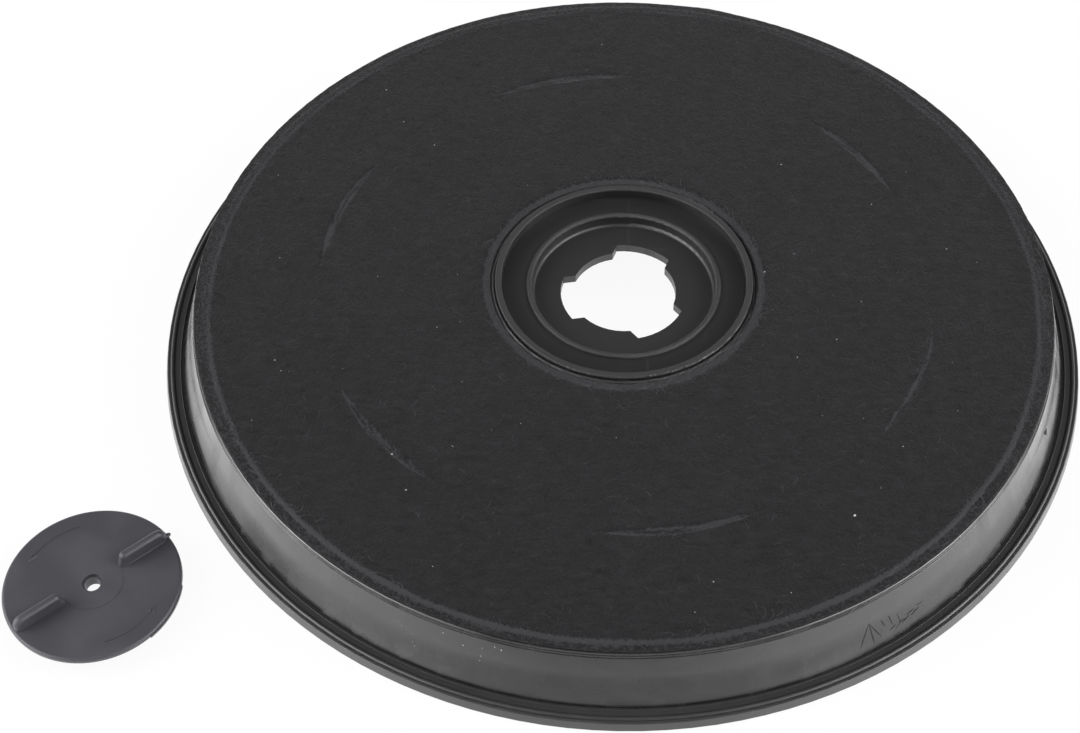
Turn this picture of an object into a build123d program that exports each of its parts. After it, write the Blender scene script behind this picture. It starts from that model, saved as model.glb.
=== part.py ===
from build123d import *
import os
from math import cos, radians, sin

# Round carbon filter for a cooker hood, with its finned locking disc lying beside it.
# Millimetres. The filter's axis is Z and it stands on the plane Z = 0, on its wide end.
# The origin is the centre of the round socket under the hub, and the fleece side faces up.

# Bottom grille: the lattice that closes the wide end, with a rim that laps the flange
rim_radius = 120.0
rim_height = 2.5
rim_wall = 1.0
rim_draft = 0.55
rim_fillet = 0.3
rim_foot_chamfer = 0.2
grille_thickness = 1.4
grille_inner_band = 4.4
grille_outer_lap = 5.2
grille_bar = 1.8
grille_ring_bays = 5
grille_bars_round = 24
collar_wall = 1.2

# Housing: side wall, lip and flange
rim_gap = 0.35
flange_width = 3.5
flange_thickness = 1.1
bead_height = 0.5
bead_half_width = 0.6
bead_inset = 0.62
foot_groove_depth = 0.45
foot_groove_width = 0.7
wall_taper = 4.45
wall_thickness = 1.9
lip_height = 18.0
lip_band = 0.95
lip_step_band = 0.8
lip_chamfer = 0.2
bevel_run = 0.15
bevel_rise = 0.07

# Housing: hub
socket_radius = 31.6
socket_stop = 1.2
hub_wall = 1.7
hub_rise = 1.9
shoulder_width = 2.8
shoulder_thickness = 1.6
ledge_drop = 2.7
ledge_width = 6.4
ledge_thickness = 1.8
rib_wall = 1.5
rib_rise = 0.9
rib_depth = 3.7
plate_thickness = 2.4
hub_edge_fillet = 0.3
rib_fillet = 0.7
plate_corner_fillet = 0.8

# Housing: bayonet hole in the hub's plate
bayonet_radius = 13.6
notch_depth = 2.75
notch_width = 14.6
notch_count = 3
notch_angle = 71.0

# Housing: spokes and the intermediate ring with its raised weld lands
spoke_count = 6
spoke_thickness = 1.6
spoke_angle = 11.4
spoke_drop = 1.7
ring_radius = 78.8
ring_wall = 1.8
land_cover = 0.8
land_arc = 29.0

# Fleece
fleece_thickness = 2.6
field_rise = 1.3
pressed_thickness = 0.9
press_slope = 1.2
fleece_edge_inset = 0.4
fleece_hub_gap = 1.6
mark_depth = 0.3
mark_half_width = 1.1
bottom_fleece_thickness = 2.8
fleece_clearance = 0.2

# Locking disc
disc_seat_clearance = 2.75
disc_thickness = 1.3
disc_fillet = 0.7
disc_hole_radius = 1.9
sink_radius = 2.35
sink_depth = 0.7
disc_pad_radius = 7.3
disc_pad_height = 0.06
boss_radius = 4.2
boss_depth = 2.2
neck_wall = 1.8
lock_clearance = 0.35
lug_thickness = 1.5
fin_thickness = 2.1
fin_height = 3.6
fin_root = 0.7
fin_inner_radius = 7.1
fin_slope = 1.3
fin_end_inset = 0.7
fin_inner_round = 1.3
fin_outer_round = 2.4
fin_fillet = 0.9
detent_overhang = 0.2
detent_depth = 0.65
detent_rise = 0.5
detent_inset = 1.0
detent_arc = 42.0
detent_angle = -19.0
disc_angle = 42.0
disc_bearing = 215.65
disc_gap = 10.4

# Radii that follow from the values above
flange_radius = rim_radius - rim_wall - rim_gap
wall_foot_radius = flange_radius - flange_width
wall_top_radius = wall_foot_radius - wall_taper
lip_radius = wall_top_radius - 2 * bevel_run
hub_radius = socket_radius + hub_wall
shoulder_radius = hub_radius + shoulder_width
rib_radius = socket_radius - ledge_width
rib_inner_radius = rib_radius - rib_wall
notch_radius = bayonet_radius + notch_depth
disc_radius = rib_inner_radius - disc_seat_clearance
fleece_bore = hub_radius + fleece_hub_gap
grille_bore = hub_radius + fleece_clearance
collar_radius = grille_bore + collar_wall

# Heights that follow from the values above
flange_bottom = grille_thickness
flange_top = flange_bottom + flange_thickness
foot_floor = flange_top - foot_groove_depth
lip_foot = lip_height - lip_band
cone_top = lip_foot - lip_step_band
hub_height = lip_height + hub_rise
ledge_height = hub_height - ledge_drop
ledge_bottom = ledge_height - ledge_thickness
rib_height = ledge_height + rib_rise
plate_height = rib_height - rib_depth
plate_bottom = plate_height - plate_thickness
field_height = lip_height + field_rise
field_bottom = field_height - fleece_thickness
spoke_height = field_bottom - spoke_drop
land_height = field_height - mark_depth - land_cover
bottom_fleece_top = grille_thickness + bottom_fleece_thickness


def cone_radius(z):
    """Radius of the side wall's outer face at a height."""
    slope = (wall_foot_radius - wall_top_radius) / (cone_top - foot_floor)
    return wall_top_radius + (cone_top - z) * slope


def inner_radius(z):
    """Radius of the side wall's inner face at a height."""
    return cone_radius(z) - wall_thickness


def bottom_fleece_radius():
    """Outer radius of the bottom fleece, just inside the tapering wall."""
    return inner_radius(bottom_fleece_top) - fleece_clearance


def turned(*edges):
    """Solid turned about Z from a closed outline of radius and height."""
    return revolve(Plane.XZ * make_face(Wire(list(edges))), Axis.Z)


def turned_points(points):
    """Solid turned about Z from an outline with straight sides only."""
    return turned(*Polyline(*points, close=True).edges())


def edges_at(solid, radius, height):
    """Circular edges of a turned solid at one radius and height."""
    return [
        edge
        for edge in solid.edges().filter_by(GeomType.CIRCLE)
        if abs(edge.radius - radius) < 0.01 and abs(edge.center().Z - height) < 0.01
    ]


def side_wall():
    """Conical wall with the stepped welding lip above, and the flange with its groove and bead below."""
    bead_middle = flange_radius - bead_inset
    bead_outer = (bead_middle + bead_half_width, flange_top)
    bead_inner = (bead_middle - bead_half_width, flange_top)
    groove_radius = wall_foot_radius + foot_groove_width
    foot = Polyline(
        (inner_radius(flange_bottom), flange_bottom),
        (flange_radius, flange_bottom),
        (flange_radius, flange_top),
        bead_outer,
    )
    bead = ThreePointArc(bead_outer, (bead_middle, flange_top + bead_height), bead_inner)
    rest = Polyline(
        bead_inner,
        (groove_radius + bevel_run, flange_top),
        (groove_radius, flange_top - bevel_rise),
        (groove_radius, foot_floor),
        (wall_foot_radius, foot_floor),
        (wall_top_radius, cone_top),
        (wall_top_radius - bevel_run, cone_top + bevel_rise),
        (wall_top_radius - bevel_run, lip_foot),
        (lip_radius, lip_foot + bevel_rise),
        (lip_radius, lip_height - lip_chamfer),
        (lip_radius - lip_chamfer, lip_height),
        (inner_radius(lip_height), lip_height),
        (inner_radius(flange_bottom), flange_bottom),
    )
    return turned(*foot.edges(), *bead.edges(), *rest.edges())


def bayonet_outline(radius, tip_radius, width):
    """Round outline with parallel-sided notches, or lugs, standing out of it."""
    arms = PolarLocations(tip_radius / 2, notch_count, notch_angle) * Rectangle(tip_radius, width)
    return Circle(radius) + (Circle(tip_radius) & Sketch() + arms)


def hub():
    """Socket tube, fleece shoulder, ledge, rib ring and the plate with the bayonet hole."""
    body = turned_points([
        (0, plate_bottom),
        (rib_radius, plate_bottom),
        (rib_radius, ledge_bottom),
        (socket_radius - socket_stop, ledge_bottom),
        (socket_radius - socket_stop, plate_bottom),
        (socket_radius, plate_bottom),
        (socket_radius, 0),
        (hub_radius, 0),
        (hub_radius, lip_height - shoulder_thickness),
        (shoulder_radius, lip_height - shoulder_thickness),
        (shoulder_radius, lip_height),
        (hub_radius, lip_height),
        (hub_radius, hub_height),
        (socket_radius, hub_height),
        (socket_radius, ledge_height),
        (rib_radius, ledge_height),
        (rib_radius, rib_height),
        (rib_inner_radius, rib_height),
        (rib_inner_radius, plate_height),
        (0, plate_height),
    ])
    rounded = [
        (hub_radius, hub_height, hub_edge_fillet),
        (socket_radius, hub_height, hub_edge_fillet),
        (rib_radius, rib_height, rib_fillet),
        (rib_inner_radius, rib_height, rib_fillet),
        (rib_inner_radius, plate_height, plate_corner_fillet),
    ]
    for radius, height, rounding in rounded:
        body = fillet(edges_at(body, radius, height), rounding)
    hole = bayonet_outline(bayonet_radius, notch_radius, notch_width)
    return body - Pos(0, 0, plate_height) * extrude(hole, -plate_thickness)


def spokes():
    """Radial ribs from the hub to the side wall, kept below the fleece."""
    root = hub_radius - hub_wall / 2
    tip = wall_thickness / 2
    envelope = turned_points([
        (root, bottom_fleece_top),
        (cone_radius(bottom_fleece_top) - tip, bottom_fleece_top),
        (cone_radius(spoke_height) - tip, spoke_height),
        (root, spoke_height),
    ])
    places = PolarLocations(rim_radius / 2, spoke_count, spoke_angle)
    plan = Sketch() + places * Rectangle(rim_radius, spoke_thickness)
    bars = Pos(0, 0, bottom_fleece_top) * extrude(plan, spoke_height - bottom_fleece_top)
    return envelope & bars


def weld_angles():
    """Middle of each weld land, halfway between two spokes."""
    step = 360 / spoke_count
    return [spoke_angle + step * (index + 0.5) for index in range(spoke_count)]


def intermediate_ring():
    """Ring wall across the spokes, with a raised land between each pair of them."""
    inner = ring_radius - ring_wall / 2
    outer = ring_radius + ring_wall / 2
    ring = turned_points([
        (inner, bottom_fleece_top),
        (outer, bottom_fleece_top),
        (outer, spoke_height),
        (inner, spoke_height),
    ])
    section = Polyline(
        (inner, spoke_height),
        (outer, spoke_height),
        (outer, land_height),
        (inner, land_height),
        close=True,
    )
    land = revolve(Plane.XZ * make_face(section), Axis.Z, land_arc)
    for angle in weld_angles():
        ring += Rot(0, 0, angle - land_arc / 2) * land
    return ring


def filter_housing():
    """The one-piece moulding that everything else sits in."""
    return side_wall() + hub() + spokes() + intermediate_ring()


def pressed_mark():
    """Crescent that the welding tool leaves in the fleece over one land."""
    outer = ring_radius + mark_half_width
    inner = ring_radius - mark_half_width
    half = radians(land_arc / 2)
    first = (outer * cos(half), -outer * sin(half))
    last = (outer * cos(half), outer * sin(half))
    outline = Wire([ThreePointArc(first, (outer, 0), last), ThreePointArc(last, (inner, 0), first)])
    return Pos(0, 0, field_height - mark_depth) * extrude(make_face(outline), mark_depth * 2)


def top_fleece(housing):
    """Fleece with its edges pressed flat at the lip and round the hub, and six pressed marks."""
    pressed_top = lip_height + pressed_thickness
    seat = inner_radius(lip_height)
    fleece = turned_points([
        (fleece_bore, lip_height),
        (shoulder_radius, lip_height),
        (shoulder_radius, field_bottom),
        (seat, field_bottom),
        (seat, lip_height),
        (lip_radius - fleece_edge_inset, lip_height),
        (lip_radius - fleece_edge_inset, pressed_top),
        (seat, pressed_top),
        (seat - press_slope, field_height),
        (shoulder_radius + press_slope, field_height),
        (shoulder_radius, pressed_top),
        (fleece_bore, pressed_top),
    ])
    for angle in weld_angles():
        fleece -= Rot(0, 0, angle) * pressed_mark()
    return fleece - housing


def carbon_bed(housing):
    """Granules that fill the housing between the two fleeces."""
    bed = turned_points([
        (hub_radius, bottom_fleece_top),
        (inner_radius(bottom_fleece_top), bottom_fleece_top),
        (inner_radius(field_bottom), field_bottom),
        (shoulder_radius, field_bottom),
        (shoulder_radius, lip_height - shoulder_thickness),
        (hub_radius, lip_height - shoulder_thickness),
    ])
    return bed - housing


def bottom_fleece():
    """Flat ring of fleece that lies on the grille, under the spokes."""
    ring = Circle(bottom_fleece_radius()) - Circle(collar_radius + fleece_clearance)
    return Pos(0, 0, grille_thickness) * extrude(ring, bottom_fleece_thickness)


def grille_windows():
    """Openings of the lattice: ring-shaped bays cut across by radial bars."""
    first = grille_bore + grille_inner_band
    last = bottom_fleece_radius() - grille_outer_lap
    pitch = (last - first + grille_bar) / grille_ring_bays
    places = PolarLocations(rim_radius / 2, grille_bars_round, spoke_angle)
    bars = Sketch() + places * Rectangle(rim_radius, grille_bar)
    windows = Sketch()
    for bay in range(grille_ring_bays):
        inner = first + pitch * bay
        windows += Circle(inner + pitch - grille_bar) - Circle(inner) - bars
    return windows


def bottom_grille():
    """Lattice plate with a collar round the hub and a tapered rim round the flange."""
    collar_top = bottom_fleece_top - fleece_clearance
    body = turned_points([
        (grille_bore, 0),
        (rim_radius - rim_foot_chamfer, 0),
        (rim_radius, rim_foot_chamfer),
        (rim_radius - rim_draft, rim_height),
        (rim_radius - rim_wall, rim_height),
        (rim_radius - rim_wall, grille_thickness),
        (collar_radius, grille_thickness),
        (collar_radius, collar_top),
        (grille_bore, collar_top),
    ])
    body = fillet(edges_at(body, rim_radius - rim_draft, rim_height), rim_fillet)
    return body - extrude(grille_windows(), grille_thickness)


def disc_fin():
    """Finger fin along +X, from its root at Z = 0, with a sloping inner end and a rounded outer end."""
    outer = disc_radius - fin_end_inset
    top = fin_height + fin_root
    outline = Polyline(
        (fin_inner_radius, 0),
        (outer, 0),
        (outer, top),
        (fin_inner_radius + fin_slope, top),
        close=True,
    )
    side = Sketch() + make_face(outline)
    side = fillet(max(side.vertices(), key=lambda corner: corner.Y + corner.X), fin_outer_round)
    side = fillet(max(side.vertices(), key=lambda corner: corner.Y - corner.X), fin_inner_round)
    fin = extrude(Plane.XZ * side, fin_thickness / 2, both=True)
    edges = [
        edge for edge in fin.edges() if abs(edge.center().Y) > fin_thickness / 4 and edge.center().Z > 0.1
    ]
    return fillet(edges, fin_fillet)


def edge_detent(top):
    """Thin detent on the rim, below the plate's rounded edge, with rounded corners."""
    section = Polyline(
        (disc_radius - detent_inset, top - detent_depth),
        (disc_radius + detent_overhang, top - detent_depth),
        (disc_radius + detent_overhang, top),
        (disc_radius - detent_inset, top),
        close=True,
    )
    detent = revolve(Plane.XZ * make_face(section), Axis.Z, detent_arc)
    corners = [
        edge
        for edge in detent.edges().filter_by(Axis.Z)
        if (edge.center().X ** 2 + edge.center().Y ** 2) ** 0.5 > disc_radius
    ]
    return Rot(0, 0, detent_angle - detent_arc / 2) * fillet(corners, detent_overhang)


def locking_disc():
    """Finned disc: hollow neck and lugs for the bayonet hole, plate, screw boss, fins and detent."""
    neck_radius = bayonet_radius - lock_clearance
    plate_foot = lug_thickness + plate_thickness + lock_clearance
    plate_top = plate_foot + disc_thickness
    face = plate_top + disc_pad_height
    core = Circle(neck_radius - neck_wall)
    neck = extrude(Circle(neck_radius) - core, plate_foot)
    lug_plan = bayonet_outline(neck_radius, notch_radius - lock_clearance, notch_width - 2 * lock_clearance)
    lugs = extrude(lug_plan - core, lug_thickness)
    plate = Pos(0, 0, plate_foot) * extrude(Circle(disc_radius), disc_thickness)
    plate = fillet(edges_at(plate, disc_radius, plate_top), disc_fillet)
    pad = Pos(0, 0, plate_top) * extrude(Circle(disc_pad_radius), disc_pad_height)
    boss = Pos(0, 0, plate_foot) * extrude(Circle(boss_radius), -boss_depth)
    disc = plate + pad + neck + lugs + boss + edge_detent(plate_foot + detent_rise)
    fin = Pos(0, 0, plate_top - fin_root) * disc_fin()
    disc += Rot(0, 0, disc_angle) * fin
    disc += Rot(0, 0, disc_angle + 180) * fin
    disc -= turned_points([
        (0, 0),
        (disc_hole_radius, 0),
        (disc_hole_radius, face - sink_depth),
        (sink_radius, face - sink_depth),
        (sink_radius, face + 1),
        (0, face + 1),
    ])

    distance = rim_radius + disc_gap + disc_radius
    bearing = radians(disc_bearing)
    return Pos(distance * cos(bearing), distance * sin(bearing), 0) * disc


housing = filter_housing()
pieces = {
    "filter_housing": housing,
    "top_fleece": top_fleece(housing),
    "carbon_bed": carbon_bed(housing),
    "bottom_fleece": bottom_fleece(),
    "bottom_grille": bottom_grille(),
    "locking_disc": locking_disc(),
}

os.makedirs("parts", exist_ok=True)
for name, piece in pieces.items():
    export_step(piece, f"parts/{name}.step")
    print(name, len(piece.solids()), "solids", round(piece.volume), "mm3")
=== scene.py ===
"""Looks of a round cooker hood carbon filter and of the finned locking disc beside it.

The filter stands on its wide end with its fleece side up, and its axis is Z. Sizes in the classes
are millimetres. A finished mesh is in metres, and its object stays at the origin.
"""

import logging
import math
import random
from dataclasses import dataclass, field
from enum import Enum

import bmesh
import bpy
from mathutils import Matrix, Quaternion, Vector, noise

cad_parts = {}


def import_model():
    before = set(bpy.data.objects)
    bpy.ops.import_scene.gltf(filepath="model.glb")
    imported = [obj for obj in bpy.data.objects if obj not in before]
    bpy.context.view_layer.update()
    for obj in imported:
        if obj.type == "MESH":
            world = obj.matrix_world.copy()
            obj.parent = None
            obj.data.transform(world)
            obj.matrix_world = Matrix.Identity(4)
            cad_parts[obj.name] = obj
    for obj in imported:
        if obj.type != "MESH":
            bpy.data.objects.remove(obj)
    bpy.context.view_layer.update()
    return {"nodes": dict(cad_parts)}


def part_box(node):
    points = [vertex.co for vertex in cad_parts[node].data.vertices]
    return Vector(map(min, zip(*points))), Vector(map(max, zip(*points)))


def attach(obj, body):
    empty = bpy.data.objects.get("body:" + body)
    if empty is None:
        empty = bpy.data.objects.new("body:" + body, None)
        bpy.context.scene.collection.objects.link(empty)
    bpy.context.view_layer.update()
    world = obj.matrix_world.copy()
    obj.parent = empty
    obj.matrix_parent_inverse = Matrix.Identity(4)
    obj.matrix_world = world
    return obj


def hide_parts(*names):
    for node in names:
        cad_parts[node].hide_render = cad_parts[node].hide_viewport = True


log = logging.getLogger("carbon_filter")

MM = 0.001
BODY = "root"
PHOTO_SIZE = (1080, 733)

Socket = bpy.types.NodeSocket
Colour = tuple[float, float, float]
Outline = list[tuple[float, float]]


class Slot(Enum):
    """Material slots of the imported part."""

    HOUSING = "housing_plastic"
    GRILLE = "grille_plastic"
    DISC = "disc_plastic"
    FLEECE = "fleece"
    CARBON = "carbon"


class Graph:
    """Node graph of a material or of the world, with a short call for each kind of node."""

    def __init__(self, owner: bpy.types.Material | bpy.types.World) -> None:
        """Open a graph.

        Args:
            owner: The new material or world that it belongs to.
        """
        owner.use_nodes = True
        self.tree = owner.node_tree
        self.shader = self.tree.nodes.get("Principled BSDF")
        self.coordinates = self.node("ShaderNodeTexCoord", {}).outputs
        self.place = self.coordinates["Object"]

    def feed(self, socket: Socket, value: object) -> None:
        """Link a socket to another one, or set its own value.

        Args:
            socket: The input to feed.
            value: Another node's output, or a number or colour.
        """
        if isinstance(value, Socket):
            self.tree.links.new(value, socket)
        else:
            socket.default_value = value

    def node(self, kind: str, inputs: dict, **settings: object) -> bpy.types.Node:
        """Add a node.

        Args:
            kind: Type of the node.
            inputs: Value or link for each input, by name or number.
            **settings: Properties of the node.

        Returns:
            The new node.
        """
        made = self.tree.nodes.new(kind)
        for key, value in settings.items():
            setattr(made, key, value)
        for key, value in inputs.items():
            self.feed(made.inputs[key], value)
        return made

    def noise(self, scale: float, detail: float = 2.0, distortion: float = 0.0,
              place: Socket | None = None) -> Socket:
        """Add a noise pattern.

        Args:
            scale: Cells to a metre.
            detail: Octaves of finer noise.
            distortion: How far the pattern is warped.
            place: Coordinates to read, or none for the object's own.

        Returns:
            The pattern, from 0 to 1.
        """
        inputs = {"Scale": scale, "Detail": detail, "Distortion": distortion}
        return self.node("ShaderNodeTexNoise", {"Vector": place or self.place, **inputs}).outputs[0]

    def mapped(self, scale: Colour, turn: Colour = (0.0, 0.0, 0.0)) -> Socket:
        """Stretch and turn the object's coordinates.

        Args:
            scale: Factor along each axis.
            turn: Rotation about each axis in radians.

        Returns:
            The new coordinates.
        """
        inputs = {"Vector": self.place, "Scale": scale, "Rotation": turn}
        return self.node("ShaderNodeMapping", inputs).outputs[0]

    def span(self, value: object, low: float, high: float, to_low: float = 0.0,
             to_high: float = 1.0) -> Socket:
        """Carry a value smoothly from one span to another, and hold it at the ends.

        Args:
            value: The value to carry over.
            low: Where the first span starts.
            high: Where the first span ends.
            to_low: Result at the start.
            to_high: Result at the end.

        Returns:
            The result.
        """
        inputs = {"From Min": low, "From Max": high, "To Min": to_low, "To Max": to_high}
        kind = "ShaderNodeMapRange"
        return self.node(kind, {"Value": value, **inputs}, interpolation_type="SMOOTHSTEP").outputs[0]

    def math(self, operation: str, first: object, second: object = 0.0) -> Socket:
        """Work out one sum with two values.

        Args:
            operation: Name of the operation.
            first: First value or link.
            second: Second value or link.

        Returns:
            The result.
        """
        return self.node("ShaderNodeMath", {0: first, 1: second}, operation=operation).outputs[0]

    def times(self, first: object, second: object) -> Socket:
        """Multiply two values or links."""
        return self.math("MULTIPLY", first, second)

    def between(self, share: object, first: object, second: object) -> Socket:
        """Mix two values or links by the share of the second one."""
        return self.node("ShaderNodeMix", {0: share, 2: first, 3: second}).outputs[0]

    def blend(self, share: object, first: object, second: object) -> Socket:
        """Mix two colours.

        Args:
            share: Share of the second colour.
            first: First colour or link.
            second: Second colour or link.

        Returns:
            The mixed colour.
        """
        inputs = {0: share, 6: rgba(first), 7: rgba(second)}
        return self.node("ShaderNodeMix", inputs, data_type="RGBA").outputs[2]

    def radius(self) -> Socket:
        """Distance from the filter's axis, in metres."""
        kind = "ShaderNodeVectorMath"
        flat = self.node(kind, {0: self.place, 1: (1.0, 1.0, 0.0)}, operation="MULTIPLY").outputs[0]
        return self.node(kind, {0: flat}, operation="LENGTH").outputs["Value"]

    def height(self) -> Socket:
        """Height above the floor, in metres."""
        return self.node("ShaderNodeSeparateXYZ", {0: self.place}).outputs["Z"]

    def fibres(self, scale: float, thinness: float, turn: Colour) -> Socket:
        """Thin curly lines, such as the strands of a non-woven cloth.

        Args:
            scale: Bends to a metre.
            thinness: Half the share of the pattern that a line takes up.
            turn: Rotation of the pattern, which keeps several layers apart.

        Returns:
            The pattern, 1 on the middle of a line.
        """
        pattern = self.noise(scale, 1.0, 0.8, self.mapped((1.0, 0.55, 1.0), turn))
        off = self.math("ABSOLUTE", self.math("SUBTRACT", pattern, 0.5))
        return self.span(off, 0.0, thinness, 1.0, 0.0)

    def relief(self, height: object, depth: float, below: Socket | None = None) -> None:
        """Give the shader a bumpy surface.

        Args:
            height: The pattern, from 0 to 1.
            depth: Height in metres from 0 to 1.
            below: Normal of the surface that the pattern lies on, or none for the mesh's own.
        """
        inputs = {"Height": height, "Distance": depth}
        if below is not None:
            inputs["Normal"] = below
        self.feed(self.shader.inputs["Normal"], self.node("ShaderNodeBump", inputs).outputs[0])

    def dress(self, **values: object) -> None:
        """Set or link the shader's inputs, with a low line in a name for each space.

        Args:
            **values: Value or link for each input.
        """
        for key, value in values.items():
            is_colour = isinstance(value, tuple)
            self.feed(self.shader.inputs[key.replace("_", " ")], rgba(value) if is_colour else value)


def rgba(colour: object) -> object:
    """Give a colour of three numbers its fourth, and leave a link alone."""
    return (*colour, 1.0) if isinstance(colour, tuple) and len(colour) == 3 else colour


@dataclass(frozen=True)
class Finish:
    """One surface finish, whose material is made when it is first used."""

    name: str
    colour: Colour

    def paint(self, graph: Graph) -> None:
        """Build the finish's nodes.

        Args:
            graph: The graph to build them in.
        """
        graph.dress(Base_Color=self.colour)

    def material(self) -> bpy.types.Material:
        """The finish's one material."""
        found = bpy.data.materials.get(self.name)
        if found is None:
            found = bpy.data.materials.new(self.name)
            self.paint(Graph(found))
        return found


@dataclass(frozen=True)
class FleeceFinish(Finish):
    """Black non-woven fleece: matted strands, soft clouds, and smoother where it is welded."""

    strand_colour: Colour = (0.034, 0.034, 0.0362)
    pit_colour: Colour = (0.0075, 0.0075, 0.008)
    weld_colour: Colour = (0.041, 0.0402, 0.0445)
    bend_scale: float = 420.0
    grain_scale: float = 1500.0
    cloud_scale: float = 38.0
    mottle_scale: float = 620.0
    relief_depth: float = 0.00022

    def paint(self, graph: Graph) -> None:
        """Build the strands, the grain, the clouds and the welded places.

        Args:
            graph: The graph to build them in.
        """
        coarse = graph.fibres(self.bend_scale, 0.045, (0.0, 0.0, 0.3))
        fine = graph.fibres(self.bend_scale * 1.7, 0.06, (0.0, 0.4, 1.7))
        across = graph.fibres(self.bend_scale * 1.25, 0.05, (0.5, 0.0, 2.6))
        strands = graph.math("MAXIMUM", graph.math("MAXIMUM", coarse, fine), across)
        grain = graph.noise(self.grain_scale, 3.0)
        clouds = graph.noise(self.cloud_scale, 4.0, 0.6)
        mottling = graph.noise(self.mottle_scale, 3.0, 0.5, graph.mapped((0.38, 1.0, 1.0)))
        matted = graph.times(strands, graph.span(clouds, 0.3, 0.72, 0.03, 0.24))
        body = graph.blend(graph.span(grain, 0.3, 0.75, 0.0, 0.3), self.colour, self.strand_colour)
        body = graph.blend(graph.span(mottling, 0.5, 0.74, 0.0, 0.4), body, self.strand_colour)
        body = graph.blend(graph.span(mottling, 0.46, 0.26, 0.0, 0.65), body, self.pit_colour)
        body = graph.blend(matted, body, self.strand_colour)
        weld = graph.node("ShaderNodeAttribute", {}, attribute_name="weld").outputs["Fac"]
        grainy_weld = graph.math("ADD", weld, graph.span(grain, 0.3, 0.7, -0.2, 0.2))
        rough_weld = graph.span(grainy_weld, 0.3, 0.8)
        graph.dress(
            Base_Color=graph.blend(rough_weld, body, self.weld_colour),
            Roughness=graph.span(rough_weld, 0.0, 1.0, 0.92, 0.6),
            Specular_IOR_Level=0.13,
            Sheen_Weight=0.08,
            Sheen_Roughness=0.45,
        )
        pile = graph.math("ADD", graph.times(strands, 0.6), graph.times(grain, 0.7))
        flat = graph.span(rough_weld, 0.0, 1.0, 1.0, 0.3)
        graph.relief(graph.times(pile, flat), self.relief_depth)


@dataclass(frozen=True)
class PlasticFinish(Finish):
    """Moulded plastic: a faint orange peel, cloudy patches and hair-fine handling scratches."""

    roughness: float = 0.3
    cloudiness: float = 0.12
    cloud_scale: float = 70.0
    peel_scale: float = 900.0
    peel_depth: float = 0.00001
    scratch_share: float = 0.1
    scratch_colour: Colour = (0.16, 0.16, 0.165)
    specular: float = 0.5

    def clouds(self, graph: Graph) -> Socket:
        """Cloudy patches of handled plastic, from 0 to 1."""
        return graph.span(graph.noise(self.cloud_scale, 5.0, 0.4), 0.36, 0.7)

    def scratches(self, graph: Graph) -> Socket:
        """Hair-fine scratches that run two ways and come and go."""
        one_way = graph.noise(900.0, 0.0, 0.2, graph.mapped((1.0, 0.05, 0.05), (0.2, 0.3, 0.7)))
        other_way = graph.noise(800.0, 0.0, 0.2, graph.mapped((0.05, 1.0, 0.08), (0.4, 0.1, 0.4)))
        thin, other_thin = graph.span(one_way, 0.72, 0.78), graph.span(other_way, 0.73, 0.79)
        lines = graph.math("MAXIMUM", thin, other_thin)
        return graph.times(lines, graph.span(graph.noise(45.0, 2.0), 0.5, 0.65))

    def paint(self, graph: Graph) -> None:
        """Build the clouds, the scratches and the orange peel.

        Args:
            graph: The graph to build them in.
        """
        clouds = self.clouds(graph)
        scratches = self.scratches(graph)
        worn = graph.times(scratches, self.scratch_share)
        paler = tuple(share * 1.5 for share in self.colour)
        base = graph.blend(graph.times(clouds, 0.5), self.colour, paler)
        rough = graph.span(clouds, 0.0, 1.0, self.roughness, self.roughness + self.cloudiness)
        graph.dress(
            Base_Color=graph.blend(worn, base, self.scratch_colour),
            Roughness=graph.math("ADD", rough, worn),
            Specular_IOR_Level=self.specular,
        )
        peel = graph.math("SUBTRACT", graph.noise(self.peel_scale, 2.0), scratches)
        graph.relief(peel, self.peel_depth)


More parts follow.
